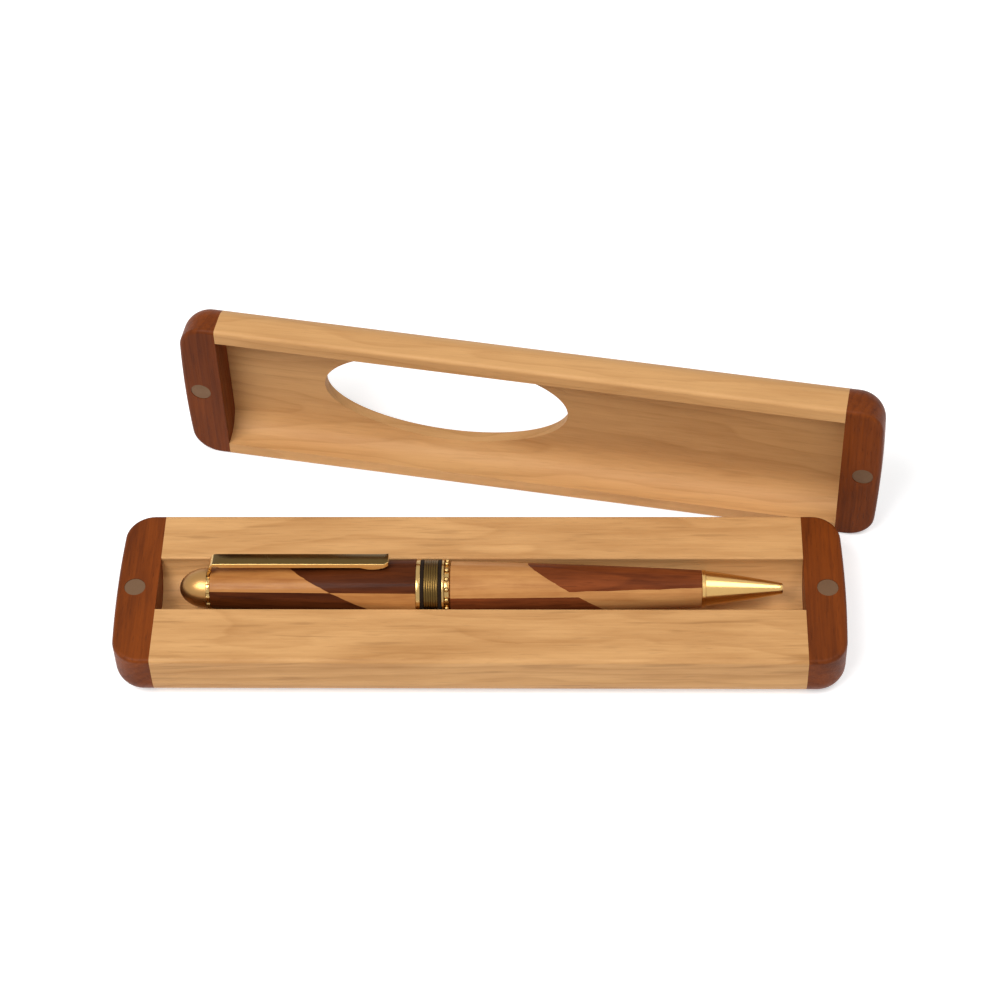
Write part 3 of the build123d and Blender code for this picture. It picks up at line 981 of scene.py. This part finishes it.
class PENCASE_OT_insides(bpy.types.Operator):
    """Gives the tubes, the twist mechanism and the refill their finishes"""
    bl_idname = "pencase.insides"
    bl_label = "Pen insides"

    def execute(self, context):
        brass_colour = context.scene.pencase_fittings.brass
        steel_colour = (0.5, 0.5, 0.5)
        turned_marks = (9, 0.4, 0.4)
        drawn_marks = (0.6, 6, 6)
        brass = metal("turned_brass", brass_colour, roughness=0.22, scratches=0.5, mark_ripples=turned_marks)
        steel = metal("refill_steel", steel_colour, roughness=0.28, scratches=0.5, mark_ripples=drawn_marks)
        plastic = enamel("plunger_plastic", (0.02, 0.02, 0.022), roughness=0.4, coat=0.1)
        for name in ("upper_tube", "lower_tube", "twist_collar", "twist_body", "refill_tip"):
            dress(name, brass)
        dress("refill_tube", steel)
        dress("twist_plunger", plastic)
        return {"FINISHED"}


class PENCASE_OT_stage(bpy.types.Operator):
    """Sets up the camera, the pale floor and the soft lights"""
    bl_idname = "pencase.stage"
    bl_label = "Stage"

    def lamp(self, name, power, place, target):
        deselect()
        bpy.ops.object.light_add(type="AREA", location=place)
        lamp = bpy.context.object
        lamp.name = name
        lamp.data.shape = "RECTANGLE"
        lamp.data.size = 0.6
        lamp.data.size_y = 0.5
        lamp.data.energy = power
        lamp.rotation_euler = (Vector(target) - Vector(place)).to_track_quat("-Z", "Y").to_euler()

    def execute(self, context):
        stage = context.scene.pencase_stage
        deselect()
        bpy.ops.object.camera_add()
        camera = context.object
        camera.name = "camera"
        camera.data.sensor_width = 36
        camera.data.lens = stage.camera_lens
        camera.matrix_world = (
            Matrix.Translation(stage.camera_place)
            @ Matrix.Rotation(stage.camera_yaw, 4, "Z")
            @ Matrix.Rotation(pi / 2 - stage.camera_pitch, 4, "X")
            @ Matrix.Rotation(stage.camera_roll, 4, "Z")
        )
        context.scene.camera = camera
        deselect()
        bpy.ops.mesh.primitive_plane_add(size=stage.floor_size, location=(0, 0, 0))
        floor = context.object
        floor.name = "floor"
        floor.data.materials.append(floor_material())
        middle = (0.01, 0.02, 0.01)
        self.lamp("key", stage.key_power, (-0.4, -0.42, 0.88), middle)
        self.lamp("fill", stage.fill_power, (0.45, -0.1, 0.95), middle)
        context.scene.world = studio_world(stage.room_level)
        context.scene.view_settings.view_transform = "Standard"
        return {"FINISHED"}


def seen_directly(tree):
    """One where the camera, a reflection or glass looks straight at the surface, otherwise nought."""
    path = tree.nodes.new("ShaderNodeLightPath")
    total = path.outputs["Is Camera Ray"]
    for name in ("Is Glossy Ray", "Is Transmission Ray"):
        add = tree.nodes.new("ShaderNodeMath")
        add.operation = "ADD"
        add.use_clamp = True
        tree.links.new(total, add.inputs[0])
        tree.links.new(path.outputs[name], add.inputs[1])
        total = add.outputs[0]
    return total


def floor_material():
    """Pale matt floor that keeps the shadow near the case and fades to white around it."""
    shading = Shading("floor_paper")
    grain = shading.stretched_noise(in_millimetres(shading), (0.4, 0.4, 0.4))
    paper = shading.mix(shading.math("MULTIPLY", grain, 0.04), (0.84, 0.84, 0.84, 1), (0.8, 0.8, 0.79, 1))
    # one at the middle of the floor, falling to nought a metre away
    nearness = shading.add(
        "TexGradient", {"Vector": object_coordinates(shading)}, gradient_type="SPHERICAL",
    )
    fade = shading.add(
        "MapRange", {"Value": nearness, "From Min": 0.2, "From Max": 0.7, "To Min": 1.0, "To Max": 0.45},
    )
    lift = shading.math("MULTIPLY", seen_directly(shading.tree), fade)
    shading.set(Base_Color=paper, Roughness=0.9, Emission_Color=(1, 1, 1, 1), Emission_Strength=lift)
    return shading.material


def studio_world(level):
    """Even room light, white where the camera or a reflection looks at it."""
    world = bpy.data.worlds.new("studio")
    world.use_nodes = True
    tree = world.node_tree
    background = tree.nodes["Background"]
    background.inputs["Color"].default_value = (1, 1, 1, 1)
    strength = tree.nodes.new("ShaderNodeMapRange")
    strength.inputs["To Min"].default_value = level
    strength.inputs["To Max"].default_value = 1.0
    tree.links.new(seen_directly(tree), strength.inputs["Value"])
    tree.links.new(strength.outputs[0], background.inputs["Strength"])
    return world


OPERATORS = (
    PENCASE_OT_case_woods, PENCASE_OT_magnets, PENCASE_OT_barrels, PENCASE_OT_finial, PENCASE_OT_clip_ring,
    PENCASE_OT_clip, PENCASE_OT_centre_band, PENCASE_OT_nib, PENCASE_OT_insides, PENCASE_OT_stage,
)


class PENCASE_PT_panel(bpy.types.Panel):
    """Lists the steps that dress the pen case"""
    bl_label = "Pen case"
    bl_idname = "PENCASE_PT_panel"
    bl_space_type = "VIEW_3D"
    bl_region_type = "UI"
    bl_category = "Pen case"

    def draw(self, context):
        for group_name in GROUPS:
            group = getattr(context.scene, group_name)
            box = self.layout.box()
            for key in group.bl_rna.properties.keys():
                if key not in ("rna_type", "name"):
                    box.prop(group, key)
        for operator in OPERATORS:
            self.layout.operator(operator.bl_idname)


GROUPS = {
    "pencase_woods": PencaseWoods,
    "pencase_fittings": PencaseFittings,
    "pencase_stage": PencaseStage,
}


def register():
    for name, group in GROUPS.items():
        bpy.utils.register_class(group)
        setattr(bpy.types.Scene, name, PointerProperty(type=group))
    for cls in (*OPERATORS, PENCASE_PT_panel):
        bpy.utils.register_class(cls)


def unregister():
    for cls in (PENCASE_PT_panel, *reversed(OPERATORS)):
        bpy.utils.unregister_class(cls)
    for name, group in reversed(GROUPS.items()):
        delattr(bpy.types.Scene, name)
        bpy.utils.unregister_class(group)


def main():
    register()
    bpy.ops.pencase.case_woods()
    bpy.ops.pencase.magnets()
    bpy.ops.pencase.barrels()
    bpy.ops.pencase.finial()
    bpy.ops.pencase.clip_ring()
    bpy.ops.pencase.clip()
    bpy.ops.pencase.centre_band()
    bpy.ops.pencase.nib()
    bpy.ops.pencase.insides()
    bpy.ops.pencase.stage()


if __name__ == "__main__":
    main()
